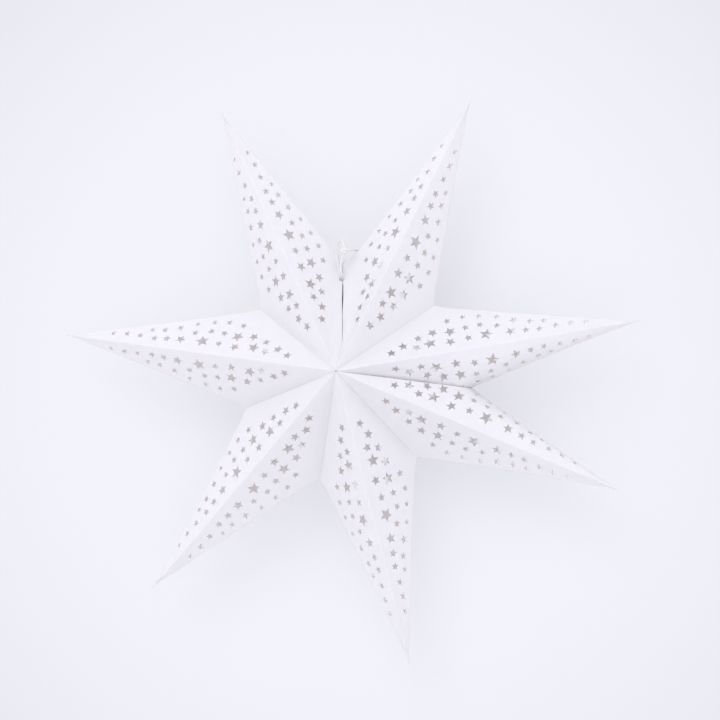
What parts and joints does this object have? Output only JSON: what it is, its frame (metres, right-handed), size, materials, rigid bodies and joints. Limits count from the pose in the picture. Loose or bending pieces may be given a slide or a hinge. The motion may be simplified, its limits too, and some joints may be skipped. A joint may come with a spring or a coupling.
{
  "type": "paper snowflake star",
  "caption": "White card star with hollow pyramid points around a hub, small punched stars, a seam tied shut with cord, and a fan fold that closes it flat.",
  "frame": {"origin": "under the middle of the card outline, at the level of the back hub on which the star lies", "axes": "+Z along the star's axis, from the back hub to the front hub; +Y towards the tied seam; +X to the right of someone who faces the front with the seam up"},
  "size_m": [0.6088, 0.5812, 0.1306],
  "materials": {
    "white_card": "matte",
    "white_board": "matte",
    "white_cord": "matte"
  },
  "bodies": {
    "point_1": {"point_1_front_left": "white_card", "point_1_front_right": "white_card", "point_1_back_left": "white_card", "point_1_back_right": "white_card", "point_1_tip": "white_card", "point_1_flap_front": "white_card", "point_1_flap_back": "white_card", "seam_board_1": "white_board", "tie_cord_long": "white_cord", "tie_cord_short": "white_cord", "hanging_cord": "white_cord", "tie_knot": "white_cord", "cord_hank": "white_cord", "end_knot": "white_cord"},
    "point_2": {"point_2_front_left": "white_card", "point_2_front_right": "white_card", "point_2_back_left": "white_card", "point_2_back_right": "white_card", "point_2_tip": "white_card", "point_2_flap_front": "white_card", "point_2_flap_back": "white_card"},
    "point_3": {"point_3_front_left": "white_card", "point_3_front_right": "white_card", "point_3_back_left": "white_card", "point_3_back_right": "white_card", "point_3_tip": "white_card", "point_3_flap_front": "white_card", "point_3_flap_back": "white_card"},
    "point_4": {"point_4_front_left": "white_card", "point_4_front_right": "white_card", "point_4_back_left": "white_card", "point_4_back_right": "white_card", "point_4_tip": "white_card", "point_4_flap_front": "white_card", "point_4_flap_back": "white_card"},
    "point_5": {"point_5_front_left": "white_card", "point_5_front_right": "white_card", "point_5_back_left": "white_card", "point_5_back_right": "white_card", "point_5_tip": "white_card", "point_5_flap_front": "white_card", "point_5_flap_back": "white_card"},
    "point_6": {"point_6_front_left": "white_card", "point_6_front_right": "white_card", "point_6_back_left": "white_card", "point_6_back_right": "white_card", "point_6_tip": "white_card", "point_6_flap_front": "white_card", "point_6_flap_back": "white_card"},
    "point_7": {"point_7_front_left": "white_card", "point_7_front_right": "white_card", "point_7_back_left": "white_card", "point_7_back_right": "white_card", "point_7_tip": "white_card", "seam_board_7": "white_board"}
  },
  "joints": [
    {"name": "fan_fold", "type": "hinge", "parent": "point_4", "child": "point_3", "pos_m": [0.00101, 0.01018, 0.06529], "axis": [0, 0, -1], "range_deg": [0, 51.5], "deforming": ["point_3_front_left", "point_3_front_right", "point_3_back_left", "point_3_back_right", "point_3_tip", "point_3_flap_front", "point_3_flap_back", "point_4_front_left", "point_4_front_right", "point_4_back_left", "point_4_back_right", "point_4_tip", "point_4_flap_front", "point_4_flap_back"]},
    {"name": "point_2_fold", "type": "hinge", "parent": "point_3", "child": "point_2", "pos_m": [0.00101, 0.01018, 0.06529], "axis": [0, 0, -1], "range_deg": [0, 30], "deforming": ["point_2_front_left", "point_2_front_right", "point_2_back_left", "point_2_back_right", "point_2_tip", "point_2_flap_front", "point_2_flap_back"]},
    {"name": "point_1_fold", "type": "hinge", "parent": "point_2", "child": "point_1", "pos_m": [0.00101, 0.01018, 0.06529], "axis": [0, 0, -1], "range_deg": [0, 52.5], "deforming": ["point_1_front_left", "point_1_front_right", "point_1_back_left", "point_1_back_right", "point_1_tip", "point_1_flap_front", "point_1_flap_back", "seam_board_1", "tie_cord_long", "tie_cord_short", "hanging_cord", "tie_knot"]},
    {"name": "point_5_fold", "type": "hinge", "parent": "point_4", "child": "point_5", "pos_m": [0.00101, 0.01018, 0.06529], "axis": [0, 0, 1], "range_deg": [0, 52], "deforming": ["point_5_front_left", "point_5_front_right", "point_5_back_left", "point_5_back_right", "point_5_tip", "point_5_flap_front", "point_5_flap_back"]},
    {"name": "point_6_fold", "type": "hinge", "parent": "point_5", "child": "point_6", "pos_m": [0.00101, 0.01018, 0.06529], "axis": [0, 0, 1], "range_deg": [0, 52], "deforming": ["point_6_front_left", "point_6_front_right", "point_6_back_left", "point_6_back_right", "point_6_tip", "point_6_flap_front", "point_6_flap_back"]},
    {"name": "point_7_fold", "type": "hinge", "parent": "point_6", "child": "point_7", "pos_m": [0.00101, 0.01018, 0.06529], "axis": [0, 0, 1], "range_deg": [0, 53], "deforming": ["point_7_front_left", "point_7_front_right", "point_7_back_left", "point_7_back_right", "point_7_tip", "seam_board_7"]}
  ],
  "couplings": [
    {"joint": "point_2_fold", "follows": "fan_fold", "ratio": 0.58252},
    {"joint": "point_1_fold", "follows": "fan_fold", "ratio": 1.0194},
    {"joint": "point_5_fold", "follows": "fan_fold", "ratio": 1.0097},
    {"joint": "point_6_fold", "follows": "fan_fold", "ratio": 1.0097},
    {"joint": "point_7_fold", "follows": "fan_fold", "ratio": 1.0291}
  ]
}
